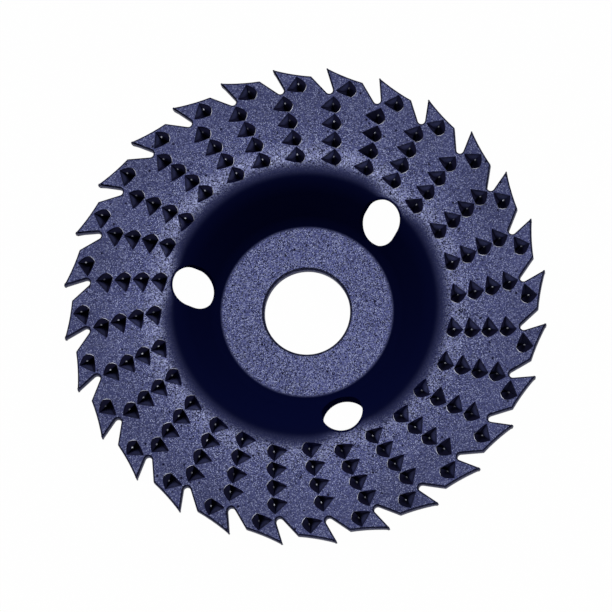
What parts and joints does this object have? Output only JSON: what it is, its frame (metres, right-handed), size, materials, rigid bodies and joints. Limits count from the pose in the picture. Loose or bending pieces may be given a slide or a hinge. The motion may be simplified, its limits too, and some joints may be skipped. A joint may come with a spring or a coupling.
{
  "type": "angle grinder carving disc",
  "caption": "Dished steel carving disc for an angle grinder, with a plain bore, vent holes, hooked saw teeth round its rim and swept rows of punched rasp teeth on its face.",
  "frame": {"origin": "centre of the bore on the hub's back face, which seats on the spindle flange and is the lowest face when the disc lies on a bench", "axes": "+Z is the spin axis, from the hub's back towards the cutting face; +X is to the right and +Y is up in the picture"},
  "size_m": [0.1244, 0.1244, 0.0153],
  "materials": {
    "coated_steel": "satin powder coat with fine specks, glossy on the teeth"
  },
  "bodies": {
    "root": {"carving_disc": "coated_steel"}
  },
  "joints": []
}
